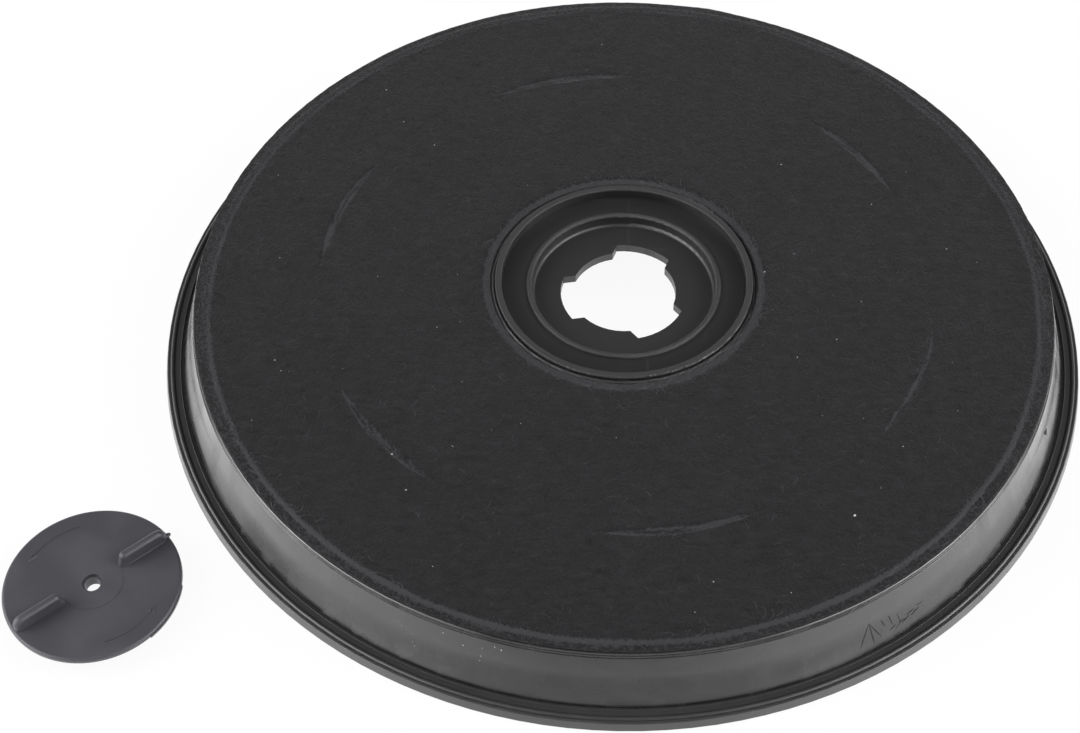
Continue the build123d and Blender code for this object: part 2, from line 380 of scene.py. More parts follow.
@dataclass(frozen=True)
class HousingFinish(PlasticFinish):
    """Plastic of the housing: polished wall with streaks, satin flange and hub, and a painted highlight on
    the hub's ring crests.
    """

    hub_reach: float = 0.036
    hub_roughness: float = 0.38
    recess_radius: float = 0.0246
    recess_height: float = 0.0164
    recess_roughness: float = 0.5
    crest_roughness: float = 0.68
    hub_colour: Colour = (0.0115, 0.0115, 0.012)
    rib_crest: float = 0.0177
    ring_crest: float = 0.0196
    # Paler tone on the crests of the hub's rings: a painted highlight.
    crest_highlight_colour: Colour = (0.013, 0.013, 0.0138)
    streak_scale: float = 120.0
    foot_height: float = 0.00205
    foot_radius: float = 0.1152
    foot_reach: float = 0.0095
    foot_depth: float = 0.0036
    smudge_reach: float = 0.0105
    smudge_roughness: float = 0.16
    film_colour: Colour = (0.034, 0.0335, 0.0345)
    film_share: float = 0.6
    wave_share: float = 2.0
    flange_roughness: float = 0.45

    def hub_tones(self, graph: Graph) -> tuple[Socket, Socket]:
        """Roughness inside the hub, and where its two rings' crests carry a painted highlight, from 0 to 1.
        """
        radius, height = graph.radius(), graph.height()
        inside = graph.span(radius, self.recess_radius, self.recess_radius + 0.0004, 1.0, 0.0)
        below = graph.span(height, self.recess_height, self.recess_height + 0.0008, 1.0, 0.0)
        sunk = graph.times(inside, below)
        satin = graph.span(sunk, 0.0, 1.0, self.hub_roughness, self.recess_roughness)
        crest = graph.span(radius, 0.027, 0.03, self.rib_crest, self.ring_crest)
        over_crest = graph.math("SUBTRACT", height, crest)
        on_crest = graph.span(over_crest, 0.0, 0.0002)
        rounded = graph.span(over_crest, -0.0006, -0.0002)
        satin = graph.between(rounded, satin, self.crest_roughness)
        # Patches in which the crests carry the painted highlight.
        worn = graph.span(graph.noise(260.0, 3.0), 0.25, 0.6, 0.55, 1.0)
        return satin, graph.times(on_crest, worn)

    def hollow_foot(self, graph: Graph, on_wall: Socket) -> Socket:
        """Normal that lets the wall's foot run out in a soft hollow, as the moulding does."""
        low, high = self.foot_height - self.foot_reach, self.foot_height + self.foot_reach
        fall = graph.span(graph.height(), low, high, 1.0, 0.0)
        hollow = graph.node("ShaderNodeBump", {"Height": fall, "Distance": self.foot_depth}).outputs[0]
        plain = graph.node("ShaderNodeNewGeometry", {}).outputs["Normal"]
        mixed = graph.node("ShaderNodeMix", {0: on_wall, 4: plain, 5: hollow}, data_type="VECTOR")
        return mixed.outputs[1]

    def paint(self, graph: Graph) -> None:
        """Build the polish, the streaks and the smudges near the foot of the wall.

        Args:
            graph: The graph to build them in.
        """
        clouds = self.clouds(graph)
        scratches = self.scratches(graph)
        streaks = graph.noise(self.streak_scale, 3.0, 0.2, graph.mapped((1.0, 1.0, 0.12)))
        in_hub = graph.span(graph.radius(), self.hub_reach, self.hub_reach + 0.004, 1.0, 0.0)
        low = graph.span(graph.height(), self.foot_height, self.smudge_reach, 1.0, 0.0)
        on_wall = graph.span(graph.radius(), self.foot_radius, self.foot_radius + 0.0003, 1.0, 0.0)
        wiped = graph.noise(60.0, 4.0, 1.6, graph.mapped((1.0, 1.0, 2.2)))
        film = graph.times(graph.span(wiped, 0.5, 0.68), on_wall)
        smudge = graph.times(graph.span(graph.noise(95.0, 4.0, 1.2), 0.54, 0.66), low)
        smudge = graph.times(smudge, on_wall)
        polish = graph.span(streaks, 0.35, 0.7, self.roughness, self.roughness + self.cloudiness)
        polish = graph.math("ADD", polish, graph.times(smudge, self.smudge_roughness))
        satin, crest_highlight = self.hub_tones(graph)
        rough = graph.between(on_wall, self.flange_roughness, polish)
        rough = graph.between(in_hub, rough, satin)
        worn = graph.times(scratches, self.scratch_share)
        paler = tuple(share * 1.35 for share in self.colour)
        pale = graph.math("ADD", worn, graph.times(clouds, 0.5))
        base = graph.blend(pale, self.colour, paler)
        base = graph.blend(graph.times(film, self.film_share), base, self.film_colour)
        base = graph.blend(in_hub, base, self.hub_colour)
        graph.dress(
            # The ring crests in the hub get a painted highlight.
            Base_Color=graph.blend(graph.times(crest_highlight, in_hub), base, self.crest_highlight_colour),
            Roughness=graph.math("ADD", rough, worn),
        )
        wavy = graph.times(streaks, self.wave_share)
        peel = graph.math("SUBTRACT", graph.noise(self.peel_scale, 2.0), scratches)
        graph.relief(graph.math("ADD", peel, wavy), self.peel_depth, self.hollow_foot(graph, on_wall))


@dataclass(frozen=True)
class GranuleFinish(Finish):
    """Broken activated carbon, packed in a bed, with painted shade between the granules."""

    grain_scale: float = 420.0
    # Painted shade in the gaps between granules.
    pit_colour: Colour = (0.006, 0.006, 0.006)
    relief_depth: float = 0.0008

    def paint(self, graph: Graph) -> None:
        """Build the granules, with painted shade in the gaps between them.

        Args:
            graph: The graph to build them in.
        """
        inputs = {"Vector": graph.place, "Scale": self.grain_scale}
        cells = graph.node("ShaderNodeTexVoronoi", inputs, feature="F1").outputs["Distance"]
        # Darker towards each cell's edge: painted shade in the gaps.
        shade = graph.span(cells, 0.1, 0.6, 1.0, 0.0)
        graph.dress(Base_Color=graph.blend(shade, self.pit_colour, self.colour), Roughness=0.7)
        graph.relief(shade, self.relief_depth)


@dataclass(frozen=True)
class PlainFinish(Finish):
    """Small loose things, such as dust, strands and flash: one tone with a fine grain."""

    roughness: float = 0.8
    spread: float = 0.35
    specular: float = 0.5

    def paint(self, graph: Graph) -> None:
        """Build the tone and its grain.

        Args:
            graph: The graph to build them in.
        """
        darker = tuple(share * (1.0 - self.spread) for share in self.colour)
        grain = graph.span(graph.noise(1200.0, 2.0), 0.3, 0.7)
        tone = graph.blend(grain, darker, self.colour)
        graph.dress(Base_Color=tone, Roughness=self.roughness, Specular_IOR_Level=self.specular)


FLEECE = FleeceFinish("black_fleece", (0.0143, 0.0143, 0.0154))
HOUSING_PLASTIC = HousingFinish(
    "polished_black_plastic", (0.0185, 0.0184, 0.0193), roughness=0.2, cloudiness=0.12,
)
GRILLE_PLASTIC = PlasticFinish(
    "satin_black_plastic", (0.028, 0.028, 0.0285), roughness=0.38, cloudiness=0.08, specular=0.48,
)
DISC_PLASTIC = PlasticFinish(
    "matt_grey_plastic", (0.044, 0.043, 0.051), roughness=0.5, cloudiness=0.08,
    scratch_share=0.03, specular=0.42,
)
# Pale finish of the hair of flash at a fin's foot: a painted highlight.
FIN_FOOT_HIGHLIGHT = PlainFinish("painted_highlight_line", (0.12, 0.12, 0.128), roughness=0.4)
FLASH_PLASTIC = PlainFinish("weld_flash_plastic", (0.03, 0.03, 0.031), roughness=0.5)
CARBON = GranuleFinish("carbon_granules", (0.022, 0.022, 0.023))
STRAND = PlainFinish("loose_black_strand", (0.056, 0.056, 0.06), roughness=0.6)
DUST = PlainFinish("white_dust", (0.62, 0.62, 0.6))
SCUFF = PlainFinish("dark_scuff", (0.05, 0.0488, 0.05), roughness=0.9, specular=0.08)


def polar(radius: float, angle: float, height: float = 0.0) -> Vector:
    """Point at a radius, an angle in degrees and a height."""
    turn = math.radians(angle)
    return Vector((radius * math.cos(turn), radius * math.sin(turn), height))


def bearing(point: Vector) -> float:
    """Angle in degrees at which a point lies about the filter's axis."""
    return math.degrees(math.atan2(point.y, point.x))


def smooth(value: float, low: float, high: float) -> float:
    """Carry a value smoothly from 0 at low to 1 at high, and hold it at the ends."""
    share = min(1.0, max(0.0, (value - low) / (high - low)))
    return share * share * (3.0 - 2.0 * share)


def stations(start: float, end: float, spacing: float) -> list[float]:
    """Even places from start up to but not at end, no further apart than about the spacing."""
    count = max(1, round(abs(end - start) / spacing))
    return [start + (end - start) * index / count for index in range(count)]


def closed_loop(shape: bmesh.types.BMesh, places: list[Vector]) -> list:
    """Join places by a closed run of edges.

    Args:
        shape: The shape to draw in.
        places: The corners, in order.

    Returns:
        The corners' vertices, then the edges.
    """
    corners = [shape.verts.new(place) for place in places]
    return corners + [shape.edges.new(pair) for pair in zip(corners, corners[1:] + corners[:1])]


def spin(shape: bmesh.types.BMesh, section: list, sweep: float, steps: int, merge: bool) -> None:
    """Sweep a section about the Z axis.

    Args:
        shape: The shape that it belongs to.
        section: Its vertices, edges and faces.
        sweep: Angle of the sweep in radians.
        steps: Faces along it.
        merge: Whether the end is joined to the start.
    """
    bmesh.ops.spin(
        shape, geom=section, cent=(0.0, 0.0, 0.0), axis=(0.0, 0.0, 1.0), dvec=(0.0, 0.0, 0.0),
        angle=sweep, steps=steps, use_merge=merge, use_duplicate=False,
    )


def turned(outline: Outline, steps: int) -> bmesh.types.BMesh:
    """Turn a closed outline about the filter's axis.

    Args:
        outline: Radius and height of each corner, in order.
        steps: Faces round the axis.

    Returns:
        The closed shape, with its faces outwards.
    """
    shape = bmesh.new()
    section = closed_loop(shape, [Vector((radius, 0.0, height)) for radius, height in outline])
    spin(shape, section, math.tau, steps, merge=True)
    bmesh.ops.recalc_face_normals(shape, faces=shape.faces[:])
    return shape


def finished_piece(shape: bmesh.types.BMesh | bpy.types.Mesh, name: str, finish: Finish) -> bpy.types.Object:
    """Turn a shape drawn in millimetres into a dressed piece that rides with the filter.

    Args:
        shape: The shape, which is used up.
        name: The piece's name.
        finish: Its finish.

    Returns:
        The piece.
    """
    if isinstance(shape, bmesh.types.BMesh):
        mesh = bpy.data.meshes.new(name)
        shape.to_mesh(mesh)
        shape.free()
    else:
        mesh = shape
    mesh.transform(Matrix.Scale(MM, 4))
    mesh.materials.clear()
    mesh.materials.append(finish.material())
    mesh.shade_smooth()
    mesh.set_sharp_from_angle(angle=math.radians(40.0))
    piece = bpy.data.objects.new(name, mesh)
    bpy.context.scene.collection.objects.link(piece)
    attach(piece, BODY)
    log.info("%s: %d faces, %s", name, len(mesh.polygons), finish.name)
    return piece


def dress_node(node: bpy.types.Object, finish: Finish) -> None:
    """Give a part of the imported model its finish.

    Args:
        node: The part's object.
        finish: Its finish.
    """
    node.data.materials[0] = finish.material()
    log.info("%s: packed shape, %s", node.name, finish.name)


@dataclass(frozen=True)
class WeldMark:
    """One crescent that the welding tool left in the fleece, from angle to angle, in degrees."""

    start: float
    end: float
    radius: float

    def share(self, radius: float, angle: float, half_width: float) -> float:
        """How far a point lies in the crescent.

        Args:
            radius: The point's radius.
            angle: The point's angle in degrees.
            half_width: Half the crescent's width at its middle.

        Returns:
            1 in the crescent, 0 well outside it.
        """
        middle = (self.start + self.end) / 2.0
        off = (angle - middle + 180.0) % 360.0 - 180.0
        along = abs(off) / ((self.end - self.start) / 2.0)
        if along >= 1.0:
            return 0.0
        ragged = 0.4 * noise.noise(Vector((angle * 0.8, radius * 0.3, self.radius)))
        width = half_width * (1.0 - along ** 2.2) * (1.0 + ragged)
        return smooth(width + 0.3 - abs(radius - self.radius + 0.35 * ragged), 0.0, 0.8)

    def streaks(self, radius: float, angle: float) -> float:
        """How strongly the weld shows at a point of the crescent, in streaks along it."""
        drift = noise.noise(Vector((angle * 0.22, radius * 2.1, self.radius)))
        fleck = noise.noise(Vector((angle * 1.6, radius * 3.4, self.radius + 5.0)))
        return min(1.0, max(0.2, 0.62 + 0.7 * drift + 0.4 * fleck))


@dataclass
class TopFleece:
    """Fleece over the granules: pressed flat at the lip and round the hub, with six weld marks."""

    outer_radius: float
    underside: float
    field_top: float
    inner_radius: float = 34.3
    shoulder_radius: float = 36.1
    seat_radius: float = 108.2
    seat_height: float = 18.02
    pressed_top: float = 18.9
    press_slope: float = 1.2
    ring_radius: float = 78.8
    land_half_width: float = 1.3
    land_top: float = 18.25
    mark_half_width: float = 1.25
    mark_depth: float = 0.3
    fine_reach: float = 3.4
    ridge_middle: float = 106.43
    ridge_shift: float = 1.35
    ridge_oval: float = 0.42
    ridge_height: float = 0.14
    ridge_half_width: float = 0.95
    round_steps: int = 640
    edge_rounding: float = 0.25
    marks: tuple[WeldMark, ...] = (
        WeldMark(88.9, 119.4, 77.6),
        WeldMark(25.4, 50.5, 79.2),
        WeldMark(-38.5, -7.4, 79.6),
        WeldMark(-93.9, -63.9, 78.8),
        WeldMark(-151.4, -122.0, 78.8),
        WeldMark(149.4, 179.7, 78.9),
    )

    def outline(self) -> Outline:
        """Section of the fleece, from its cut edge at the hub over the top and back below."""
        inner, outer, rim = self.inner_radius, self.outer_radius, self.edge_rounding
        first = self.shoulder_radius + self.press_slope
        near = self.ring_radius - self.fine_reach
        far = self.ring_radius + self.fine_reach
        over = [inner + rim * 0.3]
        over += stations(inner + rim, self.shoulder_radius, 0.5)
        over += stations(self.shoulder_radius, first, 0.4)
        over += stations(first, near, 1.25)
        over += stations(near, far, 0.34)
        over += stations(far, self.ridge_middle - 3.0, 1.25)
        over += stations(self.ridge_middle - 3.0, self.seat_radius, 0.4)
        over += stations(self.seat_radius, outer - rim, 0.4)
        over += [outer - rim, outer - rim * 0.3]
        top = [(radius, self.top_height(radius)) for radius in over]
        middle = (self.seat_height + self.pressed_top) / 2.0
        land_outside = self.ring_radius + self.land_half_width
        land_inside = self.ring_radius - self.land_half_width
        shoulder = self.shoulder_radius + 0.1
        below = [
            (outer, middle), (outer, self.seat_height),
            (self.seat_radius, self.seat_height), (self.seat_radius, self.underside),
            (land_outside, self.underside), (land_outside, self.land_top),
            (land_inside, self.land_top), (land_inside, self.underside),
            (shoulder, self.underside), (shoulder, self.seat_height),
            (inner, self.seat_height), (inner, middle),
        ]
        return top + below

    def top_height(self, radius: float) -> float:
        """Height of the even top face at a radius, before it is made uneven."""
        raised = self.field_top - self.pressed_top
        inside = smooth(radius, self.shoulder_radius, self.shoulder_radius + self.press_slope)
        outside = smooth(radius, self.seat_radius, self.seat_radius - self.press_slope)
        edge = min(radius - self.inner_radius, self.outer_radius - radius)
        rolled = self.edge_rounding * (1.0 - smooth(edge, 0.0, self.edge_rounding))
        return self.pressed_top + raised * min(inside, outside) - rolled

    def off_ridge(self, radius: float, angle: float) -> float:
        """Distance outwards from the welded ridge, which runs inside the lip a little off centre."""
        turn = math.radians(angle)
        wobble = 0.3 * noise.noise(Vector((angle * 0.12, 4.0, 8.0)))
        middle = self.ridge_middle - self.ridge_shift * math.sin(turn)
        middle -= self.ridge_oval * math.cos(2.0 * turn)
        return radius - middle - wobble

    def ridge(self, radius: float, angle: float) -> float:
        """How far a point lies on the welded ridge, from 0 to 1."""
        patchy = 0.8 + 0.3 * noise.noise(Vector((angle * 0.09, 3.0, 2.0)))
        patchy -= 0.24 * math.sin(math.radians(angle))
        return patchy * math.exp(-(self.off_ridge(radius, angle) / self.ridge_half_width) ** 2)

    def weld_share(self, radius: float, angle: float) -> float:
        """How welded the fleece is at a point, from 0 to 1."""
        share = max(
            mark.share(radius, angle, self.mark_half_width) * mark.streaks(radius, angle)
            for mark in self.marks
        )
        ragged = 0.35 * noise.noise(Vector((angle * 0.5, 0.0, 7.0)))
        at_lip = smooth(self.off_ridge(radius, angle) + ragged, 0.0, 0.9)
        at_hub = smooth(radius - ragged, self.shoulder_radius + 0.65, self.shoulder_radius + 0.2)
        return max(share, 0.4 * at_lip, 0.9 * self.ridge(radius, angle), 0.75 * at_hub)

    def rise(self, radius: float, angle: float) -> float:
        """Height that unevenness and the weld marks add at a point."""
        point = polar(radius, angle)
        loose = smooth(radius, self.shoulder_radius, self.shoulder_radius + 6.0)
        loose *= smooth(radius, self.seat_radius, self.seat_radius - 6.0)
        swell = 0.16 * noise.noise(point / 17.0)
        swell += 0.09 * noise.noise(point / 6.0 + Vector((9.0, 0.0, 0.0)))
        grain = 0.045 * noise.noise(point / 1.7 + Vector((0.0, 5.0, 0.0)))
        groove = 0.05 * smooth(abs(radius - self.ring_radius), 1.6, 0.3)
        pressed = max(mark.share(radius, angle, self.mark_half_width) for mark in self.marks)
        raised = self.ridge_height * self.ridge(radius, angle)
        uneven = (swell * loose + grain) * (1.0 - 0.7 * pressed)
        return uneven + raised - groove - self.mark_depth * pressed

    def surface(self, radius: float, angle: float) -> float:
        """Height of the finished top face at a point."""
        return self.top_height(radius) + self.rise(radius, angle)

    def build(self) -> bpy.types.Object:
        """Build the fleece.

        Returns:
            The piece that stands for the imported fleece.
        """
        shape = turned(self.outline(), self.round_steps)
        weld = shape.verts.layers.float.new("weld")
        for vertex in shape.verts:
            radius = vertex.co.xy.length
            angle = bearing(vertex.co)
            if vertex.co.z > self.seat_height + 0.1 and vertex.co.z > self.land_top + 0.1:
                vertex.co.z += self.rise(radius, angle)
                vertex[weld] = self.weld_share(radius, angle)
                vertex.co.xy *= 1.0 + self.cut_wander(radius, angle) / radius
        piece = finished_piece(shape, "top_fleece_cloth", FLEECE)
        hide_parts("top_fleece")
        return piece

    def cut_wander(self, radius: float, angle: float) -> float:
        """How far the cut edges at the hub and at the lip leave their circles."""
        at_hub = smooth(radius, self.inner_radius + 1.4, self.inner_radius)
        at_lip = smooth(radius, self.outer_radius - 1.2, self.outer_radius)
        fine = noise.noise(Vector((angle * 0.9, radius * 0.2, 3.0)))
        slow = noise.noise(Vector((angle * 0.13, 1.0, 4.0)))
        loose_end = 0.45 * math.exp(-((angle - 78.0) / 3.0) ** 2)
        return at_hub * 0.35 * abs(fine + slow) + at_lip * (0.12 * fine + 0.1 * slow + loose_end + 0.12)


@dataclass
class BottomFleece:
    """Fleece on the grille, which sags a little into the grille's windows."""

    outer_radius: float
    underside: float
    top: float
    inner_radius: float = 35.0
    first_window: float = 37.9
    bay_pitch: float = 14.215
    bar_width: float = 1.8
    bays: int = 5
    bars_round: int = 24
    bar_angle: float = 11.4
    sag: float = 0.28
    round_steps: int = 288

    def in_window(self, radius: float, angle: float) -> float:
        """How far a point lies clear of the bars, 1 at the middle of a window."""
        across = (radius - self.first_window) % self.bay_pitch
        if not self.first_window < radius < self.first_window + self.bays * self.bay_pitch:
            return 0.0
        opening = self.bay_pitch - self.bar_width
        off_ring = min(across, opening - across)
        pitch = 360.0 / self.bars_round
        turn = (angle - self.bar_angle) % pitch
        off_bar = math.radians(min(turn, pitch - turn)) * radius - self.bar_width / 2.0
        return smooth(min(off_ring, off_bar), 0.1, 3.0)

    def build(self) -> bpy.types.Object:
        """Build the fleece.

        Returns:
            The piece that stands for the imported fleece.
        """
        inner, outer = self.inner_radius + 0.05, self.outer_radius - 0.1
        low, high = self.underside + 0.03, self.top - 0.03
        middle = (low + high) / 2.0
        under = [(radius, low) for radius in stations(inner + 0.4, outer - 0.4, 1.2)]
        over = [(radius, high) for radius in stations(outer - 0.4, inner + 0.4, 4.0)]
        far_side, near_side = [(outer - 0.4, low), (outer, middle)], [(inner + 0.4, high)]
        outline = [(inner, middle), *under, *far_side, *over, *near_side]
        shape = turned(outline, self.round_steps)
        for vertex in shape.verts:
            if vertex.co.z < middle - 0.1:
                radius = vertex.co.xy.length
                angle = bearing(vertex.co)
                deep = 1.0 + 0.35 * noise.noise(vertex.co / 5.0)
                vertex.co.z -= self.sag * deep * self.in_window(radius, angle)
        piece = finished_piece(shape, "bottom_fleece_cloth", FLEECE)
        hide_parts("bottom_fleece")
        return piece


class StrandPlace(Enum):
    """Where loose strands stand out of the fleece."""

    HUB_EDGE = "hub_edge"
    LIP_EDGE = "lip_edge"
    FIELD = "field"


@dataclass
class LooseStrands:
    """Short strands that stand or lie loose on the fleece, most of them along its cut edges."""

    fleece: TopFleece
    thickness: float = 0.07
    seed: int = 41
    counts: dict[StrandPlace, int] = field(default_factory=lambda: {
        StrandPlace.HUB_EDGE: 300,
        StrandPlace.LIP_EDGE: 170,
        StrandPlace.FIELD: 520,
    })

    def start(self, place: StrandPlace, draw: random.Random) -> tuple[float, float, float]:
        """Choose where a strand starts.

        Args:
            place: The stretch of fleece that it belongs to.
            draw: Source of chance.

        Returns:
            Its radius, its angle and the angle that it sets off at from the tangent, in degrees.
        """
        cloth = self.fleece
        if place is StrandPlace.HUB_EDGE:
            below, above = draw.uniform(-115.0, -5.0), draw.uniform(15.0, 110.0)
            angle = draw.choice((below, above, draw.uniform(-180.0, 180.0)))
            radius = draw.uniform(cloth.inner_radius + 0.1, cloth.shoulder_radius + 1.0)
            return radius, angle, draw.gauss(0.0, 28.0)
        if place is StrandPlace.LIP_EDGE:
            radius = draw.uniform(cloth.seat_radius - 2.2, cloth.outer_radius - 0.4)
            return radius, draw.uniform(-180.0, 180.0), draw.gauss(0.0, 22.0)
        spread = draw.uniform(cloth.shoulder_radius ** 2, cloth.seat_radius ** 2)
        return math.sqrt(spread), draw.uniform(-180.0, 180.0), draw.uniform(-180.0, 180.0)

    def strand(self, place: StrandPlace, draw: random.Random) -> list[Vector]:
        """Lay out one strand as a short curved run just above the fleece.

        Args:
            place: The stretch of fleece that it belongs to.
            draw: Source of chance.

        Returns:
            Its points.
        """
        radius, angle, heading = self.start(place, draw)
        point = polar(radius, angle)
        course = math.radians(angle + 90.0 + heading)
        bend = draw.gauss(0.0, 0.5)
        length = draw.uniform(0.9, 2.6) if place is StrandPlace.FIELD else draw.uniform(1.2, 3.6)
        lift = draw.uniform(0.02, 0.1) if place is StrandPlace.FIELD else draw.uniform(0.04, 0.28)
        points = []
        for share in (0.0, 0.35, 0.7, 1.0):
            reach = point.xy.length
            angle = bearing(point)
            held = min(max(reach, self.fleece.inner_radius + 0.1), self.fleece.outer_radius - 0.2)
            on_cloth = self.fleece.surface(held, angle)
            points.append(polar(held, angle, on_cloth + lift * math.sin(math.pi * share) + 0.01))
            point += Vector((math.cos(course), math.sin(course), 0.0)) * length / 3.0
            course += bend
        return points

    def build(self) -> bpy.types.Object:
        """Build all strands as one piece.

        Returns:
            The piece.
        """
        draw = random.Random(self.seed)
        curve = bpy.data.curves.new("strand_runs", "CURVE")
        curve.dimensions = "3D"
        curve.bevel_depth = self.thickness / 2.0
        curve.bevel_resolution = 0
        curve.use_fill_caps = True
        for place, count in self.counts.items():
            for _ in range(count):
                points = self.strand(place, draw)
                run = curve.splines.new("POLY")
                run.points.add(len(points) - 1)
                for target, point in zip(run.points, points):
                    target.co = (*point, 1.0)
        carrier = bpy.data.objects.new("strand_runs", curve)
        mesh = bpy.data.meshes.new_from_object(carrier)
        bpy.data.objects.remove(carrier)
        return finished_piece(mesh, "loose_strands", STRAND)


def flash_share(angle: float) -> float:
    """How much the welding tool squeezed out round the hub at an angle; most of it on the right."""
    right_low = math.exp(-((angle + 52.0) / 42.0) ** 2)
    right_top = math.exp(-((angle - 52.0) / 26.0) ** 2)
    front = math.exp(-((angle + 106.0) / 13.0) ** 2)
    return max(right_low, right_top, front)


@dataclass(frozen=True)
class WeldFlash:
    """Ring of plastic squeezed out at a weld or at a mould's seam, ragged where it is lively."""

    name: str
    radius: float
    level: float
    half_width: float
    half_height: float
    calm: float
    lively: float
    wander: float
    crumbling: float = 0.5
    sunk: float = 0.0
    round_steps: int = 720
    section_steps: int = 9

    def liveliness(self, angle: float) -> float:
        """How much flash came out at an angle, from 0 to 1."""
        patchy = 0.75 + 0.5 * noise.noise(Vector((angle * 0.11, 3.0, self.radius)))
        return flash_share(angle) * patchy

    def build(self) -> bpy.types.Object:
        """Build the ring.

        Returns:
            The piece.
        """
        turn = math.tau / self.section_steps
        turns = [turn * step for step in range(self.section_steps)]
        outline = [
            (self.radius + self.half_width * math.cos(at), self.level + self.half_height * math.sin(at))
            for at in turns
        ]
        shape = turned(outline, self.round_steps)
        for vertex in shape.verts:
            angle = bearing(vertex.co)
            low = self.sunk * math.exp(-((angle - 8.0) / 38.0) ** 2)
            middle = polar(self.radius, angle, self.level - low)
            lively = self.liveliness(angle)
            lumps = noise.noise(Vector((angle * 0.7, 0.0, self.radius)))
            lumps += 0.7 * noise.noise(Vector((angle * 2.1, 2.0, self.radius)))
            crumb = 1.0 + self.crumbling * lively * noise.noise(vertex.co / 0.35)
            size = self.calm + (self.lively - self.calm) * lively * (0.8 + 0.9 * lumps)
            round_it = vertex.co - polar(self.radius, angle, self.level)
            vertex.co = middle + round_it * max(0.15, size * crumb)
            sideways = self.wander * noise.noise(Vector((angle * 0.35, 6.0, self.radius)))
            vertex.co.xy *= 1.0 + sideways / self.radius
        return finished_piece(shape, self.name, FLASH_PLASTIC)


FLASHES = (
    WeldFlash("weld_flash", 33.76, 18.5, 0.42, 0.42, calm=0.9, lively=1.3, wander=0.1, sunk=0.55),
    WeldFlash("outer_flash", 34.3, 18.75, 0.11, 0.2, calm=0.6, lively=1.6, wander=0.14, sunk=0.1),
    WeldFlash("hub_burr", 33.12, 19.66, 0.28, 0.26, calm=0.35, lively=1.5, wander=0.1),
    WeldFlash("flange_line", 115.95, 2.5, 0.13, 0.12, calm=1.0, lively=1.0, wander=0.03, crumbling=0.0),
    WeldFlash("rim_weld", 118.82, 2.2, 0.27, 0.26, calm=1.0, lively=1.0, wander=0.02, crumbling=0.0),
)


@dataclass
class FlashCrumbs:
    """Broken flakes of weld flash that stick in the groove round the hub and on its ring."""

    hub_radius: float = 33.3
    ring_top: float = 19.92
    groove_level: float = 18.9
    seed: int = 23
    count: int = 120
    ring_share: float = 0.35

    def build(self) -> bpy.types.Object:
        """Build all flakes as one piece.

        Returns:
            The piece.
        """
        draw = random.Random(self.seed)
        shape = bmesh.new()
        while self.count > len(shape.faces) // 20:
            angle = draw.uniform(-180.0, 180.0)
            if draw.random() > flash_share(angle):
                continue
            if draw.random() < self.ring_share:
                place = polar(self.hub_radius - draw.uniform(0.1, 1.4), angle, self.ring_top)
            else:
                out = self.hub_radius + draw.uniform(0.25, 0.95)
                place = polar(out, angle, self.groove_level + draw.uniform(0.0, 0.3))
            size = draw.uniform(0.07, 0.2)
            turn = Matrix.Rotation(math.radians(angle + 90.0 + draw.gauss(0.0, 25.0)), 4, "Z")
            tilt = Matrix.Rotation(draw.gauss(0.0, 0.5), 4, "X")
            length, height = size * draw.uniform(1.0, 3.2), size * draw.uniform(0.3, 0.8)
            form = Matrix.Translation(place) @ turn @ tilt @ Matrix.Diagonal((length, size, height, 1.0))
            bmesh.ops.create_icosphere(shape, subdivisions=1, radius=1.0, matrix=form)
        return finished_piece(shape, "flash_crumbs", FLASH_PLASTIC)


@dataclass
class Dust:
    """White specks on the fleece, and a few on the side wall."""

    fleece: TopFleece
    housing: "Housing"
    seed: int = 7
    count: int = 44
    small: float = 0.07
    large: float = 0.17
    noticed: tuple[tuple[float, float, float], ...] = (
        (91.0, -52.5, 0.34),
        (84.8, -126.0, 0.2),
        (57.0, -19.0, 0.2),
        (79.5, -133.0, 0.26),
        (36.6, 6.0, 0.22),
    )
    on_wall: tuple[tuple[float, float, float], ...] = (
        (-107.6, 13.1, 0.2),
        (-105.3, 13.8, 0.13),
        (-105.4, 11.5, 0.13),
        (-105.5, 10.1, 0.13),
        (-103.8, 15.1, 0.16),
        (-103.0, 14.7, 0.22),
        (-110.2, 14.7, 0.16),
        (-113.9, 8.7, 0.12),
        (-113.6, 7.7, 0.12),
        (-114.1, 10.9, 0.12),
        (-115.5, 12.1, 0.12),
    )

    def build(self) -> bpy.types.Object:
        """Build all specks as one piece.

        Returns:
            The piece.
        """
        draw = random.Random(self.seed)
        specks = list(self.noticed)
        for _ in range(self.count):
            spread = draw.uniform(self.fleece.shoulder_radius ** 2, self.fleece.seat_radius ** 2)
            angle, size = draw.uniform(-180.0, 180.0), draw.uniform(self.small, self.large)
            specks.append((math.sqrt(spread), angle, size))
        shape = bmesh.new()
        for radius, angle, size in specks:
            height = self.fleece.surface(radius, angle) + size * 0.3
            place = Matrix.Translation(polar(radius, angle, height))
            turn = Matrix.Rotation(math.radians(draw.uniform(0.0, 180.0)), 4, "Z")
            form = Matrix.Diagonal((size * draw.uniform(0.8, 1.5), size, size * 0.6, 1.0))
            bmesh.ops.create_icosphere(shape, subdivisions=1, radius=1.0, matrix=place @ turn @ form)
        for angle, height, size in self.on_wall:
            place = Matrix.Translation(self.housing.on_wall(angle, height, size * 0.3))
            bmesh.ops.create_icosphere(shape, subdivisions=1, radius=size, matrix=place)
        return finished_piece(shape, "dust_specks", DUST)


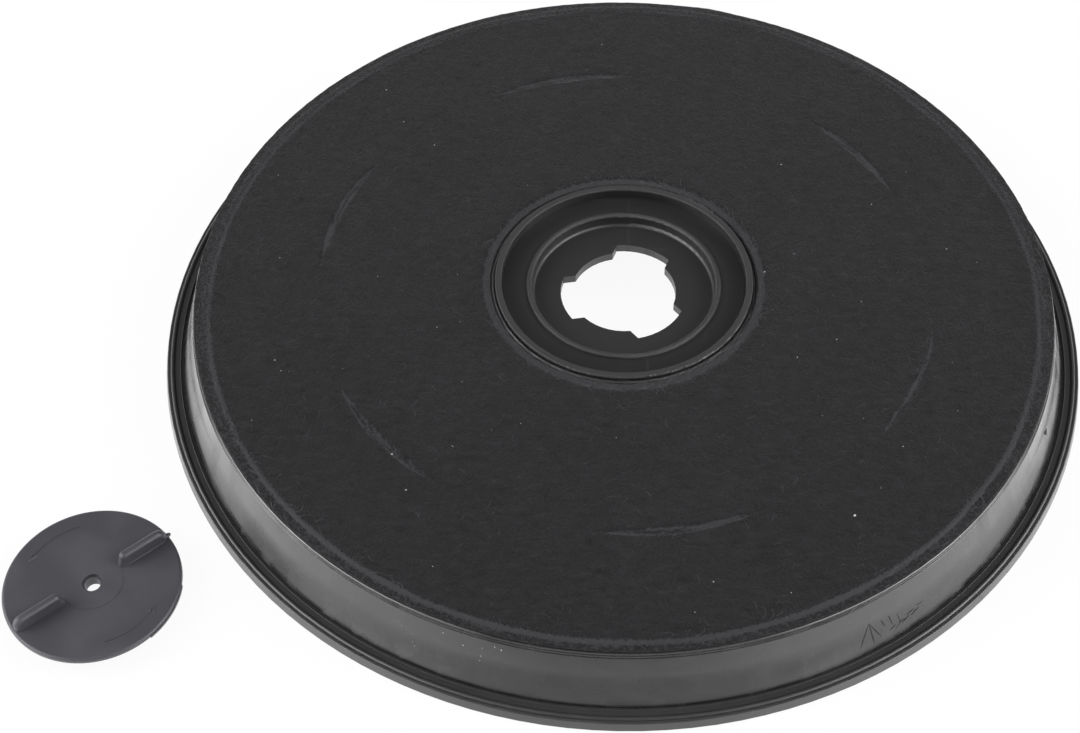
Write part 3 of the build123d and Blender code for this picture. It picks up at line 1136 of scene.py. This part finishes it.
@dataclass
class Housing:
    """Housing, grille and carbon bed as packed, with the scuffs that show on the side wall.

    A stroke holds its start's angle and height, its end's angle and height, and its width.
    """

    nodes: dict[str, bpy.types.Object]
    foot_radius: float = 115.15
    foot_height: float = 2.05
    wall_top_radius: float = 110.7
    wall_top_height: float = 16.25
    lean: float = 0.33
    scuff_height: float = 0.012
    strokes: tuple[tuple[float, float, float, float, float], ...] = (
        (-60.2, 4.4, -58.8, 10.7, 0.26),
        (-58.2, 3.8, -58.8, 10.7, 0.3),
        (-58.8, 10.7, -57.2, 4.9, 0.24),
        (-57.1, 9.8, -56.6, 7.5, 0.26),
        (-56.0, 10.0, -55.5, 6.6, 0.22),
        (-54.8, 9.4, -54.3, 5.6, 0.2),
        (-55.9, 5.4, -55.0, 6.3, 0.3),
        (-55.2, 4.9, -54.3, 5.9, 0.24),
        (-54.6, 6.3, -53.6, 6.2, 0.34),
        (-54.1, 5.4, -53.0, 6.5, 0.3),
        (-53.4, 7.0, -52.2, 7.4, 0.3),
        (-52.8, 6.0, -51.4, 7.0, 0.36),
        (-51.9, 7.9, -50.6, 7.8, 0.24),
        (-20.0, 10.9, -20.2, 8.9, 1.2),
        (-20.9, 11.0, -20.1, 10.0, 1.0),
    )

    def on_wall(self, angle: float, height: float, proud: float) -> Vector:
        """Point on the side wall's outer face.

        Args:
            angle: Angle in degrees.
            height: Height above the floor.
            proud: How far it stands off the face.

        Returns:
            The point.
        """
        share = (height - self.foot_height) / (self.wall_top_height - self.foot_height)
        radius = self.foot_radius + (self.wall_top_radius - self.foot_radius) * share
        return polar(radius + proud, angle, height)

    def scuffs(self) -> bpy.types.Object:
        """Build the dark strokes that were scratched into the wall's shine.

        Returns:
            The piece.
        """
        shape = bmesh.new()
        for angle, height, end_angle, end_height, width in self.strokes:
            start = self.on_wall(angle, height, 0.0)
            end = self.on_wall(end_angle, end_height, 0.0)
            along = end - start
            outward = Vector((start.x, start.y, 0.0)).normalized() + Vector((0.0, 0.0, self.lean))
            outward.normalize()
            side = along.cross(outward).normalized()
            turn = Matrix((along.normalized(), side, outward)).transposed().to_4x4()
            form = turn @ Matrix.Diagonal((along.length / 2.0, width / 2.0, self.scuff_height, 1.0))
            form = Matrix.Translation((start + end) / 2.0 + outward * self.scuff_height) @ form
            bmesh.ops.create_uvsphere(shape, u_segments=12, v_segments=6, radius=1.0, matrix=form)
        return finished_piece(shape, "wall_scuffs", SCUFF)

    def build(self) -> None:
        """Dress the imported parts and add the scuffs."""
        dress_node(self.nodes["filter_housing"], HOUSING_PLASTIC)
        dress_node(self.nodes["bottom_grille"], GRILLE_PLASTIC)
        dress_node(self.nodes["carbon_bed"], CARBON)
        self.scuffs()


@dataclass
class LockingDisc:
    """The finned disc, with the raised turning arrows on its face and small moulding faults."""

    node: bpy.types.Object
    radius: float = 20.95
    face_height: float = 5.55
    arrow_radius: float = 16.9
    arrow_start: float = 111.0
    arrow_end: float = 157.0
    line_width: float = 0.4
    line_height: float = 0.16
    head_length: float = 2.6
    head_width: float = 2.2
    fin_angle: float = 42.0
    fin_start: float = 8.2
    fin_end: float = 19.6
    fin_side: float = -1.1
    hair_half_width: float = 0.09
    hair_half_height: float = 0.1
    nib_radius: float = 20.55
    nib_length: float = 1.1
    nib_size: float = 0.5

    def centre(self) -> Vector:
        """Middle of the disc on the floor, from the two sides of it that have no detent."""
        low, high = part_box(self.node.name)
        return Vector((low.x / MM + self.radius, high.y / MM - self.radius, 0.0))

    def arrow(self, shape: bmesh.types.BMesh, half_turn: float) -> None:
        """Add one arc with its head.

        Args:
            shape: The shape to add it to.
            half_turn: Angle in degrees that the arrow is turned by about the disc's middle.
        """
        half = self.line_width / 2.0
        low, high = self.face_height - 0.1, self.face_height + self.line_height
        outline = [(-half, low), (half, low), (half * 0.6, high), (-half * 0.6, high)]
        first, last = self.arrow_start + half_turn, self.arrow_end + half_turn
        section = closed_loop(
            shape, [polar(self.arrow_radius + across, first, height) for across, height in outline],
        )
        cap = bmesh.ops.contextual_create(shape, geom=section[len(outline):])["faces"]
        spin(shape, section + cap, math.radians(self.arrow_end - self.arrow_start), 24, merge=False)
        tip = Matrix.Translation(polar(self.arrow_radius, last, (low + high) / 2.0))
        form = Matrix.Diagonal((self.head_length / 1.5, self.head_width / 1.732, 1.0, 1.0))
        turn = Matrix.Rotation(math.radians(last + 90.0), 4, "Z")
        point = Matrix.Rotation(-math.pi / 2, 4, "Z")
        bmesh.ops.create_cone(
            shape, cap_ends=True, cap_tris=False, segments=3, radius1=1.0, radius2=0.75,
            depth=high - low, matrix=tip @ turn @ form @ point,
        )

    def fin_flash(self) -> bpy.types.Object:
        """Build the hair of flash along the foot of one fin, pale as a painted highlight.

        Returns:
            The piece.
        """
        shape = bmesh.new()
        middle = Vector(((self.fin_start + self.fin_end) / 2.0, self.fin_side, self.face_height))
        half = (self.fin_end - self.fin_start) / 2.0
        form = Matrix.Diagonal((half, self.hair_half_width, self.hair_half_height, 1.0))
        bmesh.ops.create_uvsphere(
            shape, u_segments=32, v_segments=8, radius=1.0,
            matrix=Matrix.Translation(middle) @ form @ Matrix.Rotation(math.pi / 2.0, 4, "Y"),
        )
        turn = Matrix.Rotation(math.radians(self.fin_angle), 3, "Z")
        bmesh.ops.rotate(shape, verts=shape.verts[:], matrix=turn)
        for vertex in shape.verts:
            vertex.co.z += 0.05 * noise.noise(vertex.co * 1.3)
        bmesh.ops.translate(shape, verts=shape.verts[:], vec=self.centre())
        # Its pale finish stands for a painted highlight.
        return finished_piece(shape, "fin_flash", FIN_FOOT_HIGHLIGHT)

    def build(self) -> None:
        """Dress the disc, and add its arrows, the nib at one fin's end and the hair of flash."""
        dress_node(self.node, DISC_PLASTIC)
        shape = bmesh.new()
        for half_turn in (0.0, 180.0):
            self.arrow(shape, half_turn)
        nib = Matrix.Translation(polar(self.nib_radius, self.fin_angle, self.face_height + 0.12))
        form = Matrix.Diagonal((self.nib_length, self.nib_size * 1.3, self.nib_size, 1.0))
        turn = Matrix.Rotation(math.radians(self.fin_angle), 4, "Z")
        bmesh.ops.create_icosphere(shape, subdivisions=2, radius=1.0, matrix=nib @ turn @ form)
        bmesh.ops.recalc_face_normals(shape, faces=shape.faces[:])
        bmesh.ops.translate(shape, verts=shape.verts[:], vec=self.centre())
        finished_piece(shape, "turning_arrows", DISC_PLASTIC)
        self.fin_flash()


@dataclass
class Studio:
    """Pale floor, soft light from above and from both sides, and the camera."""

    floor_size: float = 9.0
    camera_place: tuple[float, float, float] = (0.0, -0.31657, 0.37068)
    camera_target: tuple[float, float, float] = (-0.006815, -0.025044, 0.0)
    camera_roll: float = 0.010
    focal_pixels: float = 1828.5
    axis_pixel: tuple[float, float] = (594.0, 400.3)
    floor_glow: float = 0.93
    floor_tone: float = 0.82
    mirrored_level: float = 2.35
    mirrored_middle: tuple[float, float, float, float] = (0.015, 0.065, 0.84, 1.0)
    mirrored_distance: tuple[float, float, float, float] = (-0.1395, -0.132, 0.62, 1.0)
    panel_level: float = 7.0
    zenith_level: float = 0.34
    horizon_level: float = 0.95
    mirrored_zenith: float = 0.12
    mirrored_horizon: float = 1.7
    horizon_height: float = 0.05
    zenith_height: float = 0.55
    panel_sides: tuple[float, float] = (0.42, 0.68)
    panel_back: tuple[float, float] = (0.3, 0.0)
    panel_foot: tuple[float, float] = (0.03, 0.2)
    panel_top: tuple[float, float] = (0.86, 0.7)

    def floor(self) -> None:
        """Lay the floor, which looks near white to the eye and keeps the object's shadow."""
        shape = bmesh.new()
        bmesh.ops.create_grid(shape, x_segments=1, y_segments=1, size=self.floor_size / 2.0)
        mesh = bpy.data.meshes.new("floor")
        shape.to_mesh(mesh)
        shape.free()
        material = bpy.data.materials.new("pale_floor")
        graph = Graph(material)
        tree = graph.tree
        tree.nodes.remove(graph.shader)
        path = graph.node("ShaderNodeLightPath", {}).outputs
        seen = graph.math("MAXIMUM", path["Is Camera Ray"], path["Is Transmission Ray"])
        split = graph.node("ShaderNodeSeparateXYZ", {0: graph.place}).outputs
        middle = graph.span(graph.math("ABSOLUTE", split["X"]), *self.mirrored_middle)
        distant = graph.span(split["Y"], *self.mirrored_distance)
        shine = graph.times(graph.times(middle, distant), self.mirrored_level)
        mirrored = graph.node("ShaderNodeEmission", {"Strength": shine})
        matt = graph.node("ShaderNodeBsdfDiffuse", {"Color": rgba((self.floor_tone,) * 3)})
        inputs = {0: path["Is Glossy Ray"], 1: matt.outputs[0], 2: mirrored.outputs[0]}
        lit = graph.node("ShaderNodeMixShader", inputs)
        shade = 1.0 - self.floor_glow
        faint = graph.node("ShaderNodeBsdfDiffuse", {"Color": rgba((shade,) * 3)})
        glow = graph.node("ShaderNodeEmission", {"Strength": self.floor_glow})
        shown = graph.node("ShaderNodeAddShader", {0: glow.outputs[0], 1: faint.outputs[0]})
        both = graph.node("ShaderNodeMixShader", {0: seen, 1: lit.outputs[0], 2: shown.outputs[0]})
        tree.links.new(both.outputs[0], tree.nodes["Material Output"].inputs["Surface"])
        mesh.materials.append(material)
        floor = bpy.data.objects.new("floor", mesh)
        bpy.context.scene.collection.objects.link(floor)

    def sky(self) -> None:
        """Surround the object with a plain studio and, for shiny plastic, a soft panel at each side."""
        world = bpy.data.worlds.new("studio")
        graph = Graph(world)
        split = graph.node("ShaderNodeSeparateXYZ", {0: graph.coordinates["Generated"]}).outputs
        heights = {"Value": split["Z"], "From Min": self.horizon_height, "From Max": self.zenith_height}
        plain, shiny = (
            graph.node("ShaderNodeMapRange", {**heights, "To Min": horizon, "To Max": zenith}).outputs[0]
            for horizon, zenith in (
                (self.horizon_level, self.zenith_level), (self.mirrored_horizon, self.mirrored_zenith),
            )
        )
        aside = graph.math("ABSOLUTE", split["X"])
        panel = self.panel_level
        for coordinate, edge in (
            (aside, self.panel_sides), (split["Y"], self.panel_back),
            (split["Z"], self.panel_foot), (split["Z"], self.panel_top),
        ):
            panel = graph.times(graph.span(coordinate, *edge), panel)
        glossy = graph.node("ShaderNodeLightPath", {}).outputs["Is Glossy Ray"]
        inputs = graph.tree.nodes["Background"].inputs
        graph.feed(inputs["Strength"], graph.between(glossy, plain, graph.math("ADD", shiny, panel)))
        graph.feed(inputs["Color"], (1.0, 1.0, 1.0, 1.0))
        bpy.context.scene.world = world

    def lamp(self, name: str, place: tuple[float, float, float], size: float, power: float) -> None:
        """Hang one soft lamp that looks at the object.

        Args:
            name: The lamp's name.
            place: Where it hangs, in metres.
            size: Side of its square face, in metres.
            power: Its power, in watts.
        """
        light = bpy.data.lights.new(name, "AREA")
        light.size = size
        light.energy = power
        lamp = bpy.data.objects.new(name, light)
        lamp.location = place
        lamp.rotation_mode = "QUATERNION"
        lamp.rotation_quaternion = (-Vector(place)).to_track_quat("-Z", "Y")
        bpy.context.scene.collection.objects.link(lamp)

    def camera(self) -> None:
        """Set the camera where the photographer's stood."""
        wide, high = PHOTO_SIZE
        lens = bpy.data.cameras.new("camera")
        lens.lens = self.focal_pixels / wide * lens.sensor_width
        lens.shift_x = -(self.axis_pixel[0] - wide / 2.0) / wide
        lens.shift_y = (self.axis_pixel[1] - high / 2.0) / wide
        lens.clip_start = 0.01
        eye = bpy.data.objects.new("camera", lens)
        eye.location = self.camera_place
        eye.rotation_mode = "QUATERNION"
        look = (Vector(self.camera_target) - Vector(self.camera_place)).to_track_quat("-Z", "Y")
        eye.rotation_quaternion = look @ Quaternion((0.0, 0.0, 1.0), self.camera_roll)
        bpy.context.scene.collection.objects.link(eye)
        bpy.context.scene.camera = eye

    def build(self) -> None:
        """Set up the whole studio."""
        bpy.context.scene.view_settings.view_transform = "Standard"
        self.floor()
        self.sky()
        self.lamp("overhead", (0.0, 0.1, 1.5), 1.4, 3.0)
        self.lamp("left", (-1.2, -0.1, 0.7), 0.9, 12.0)
        self.lamp("right", (1.2, -0.1, 0.7), 0.9, 12.0)
        self.camera()


def main() -> None:
    """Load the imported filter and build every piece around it."""
    logging.basicConfig(level=logging.INFO, format="%(message)s")
    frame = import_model()
    nodes = frame["nodes"]
    Studio().build()
    low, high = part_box("top_fleece")
    top_fleece = TopFleece(outer_radius=high.x / MM, underside=low.z / MM + 0.03, field_top=high.z / MM)
    top_fleece.build()
    low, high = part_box("bottom_fleece")
    BottomFleece(outer_radius=high.x / MM, underside=low.z / MM, top=high.z / MM).build()
    housing = Housing(nodes)
    housing.build()
    LockingDisc(nodes["locking_disc"]).build()
    for flash in FLASHES:
        flash.build()
    FlashCrumbs().build()
    LooseStrands(top_fleece).build()
    Dust(top_fleece, housing).build()


if __name__ == "__main__":
    main()
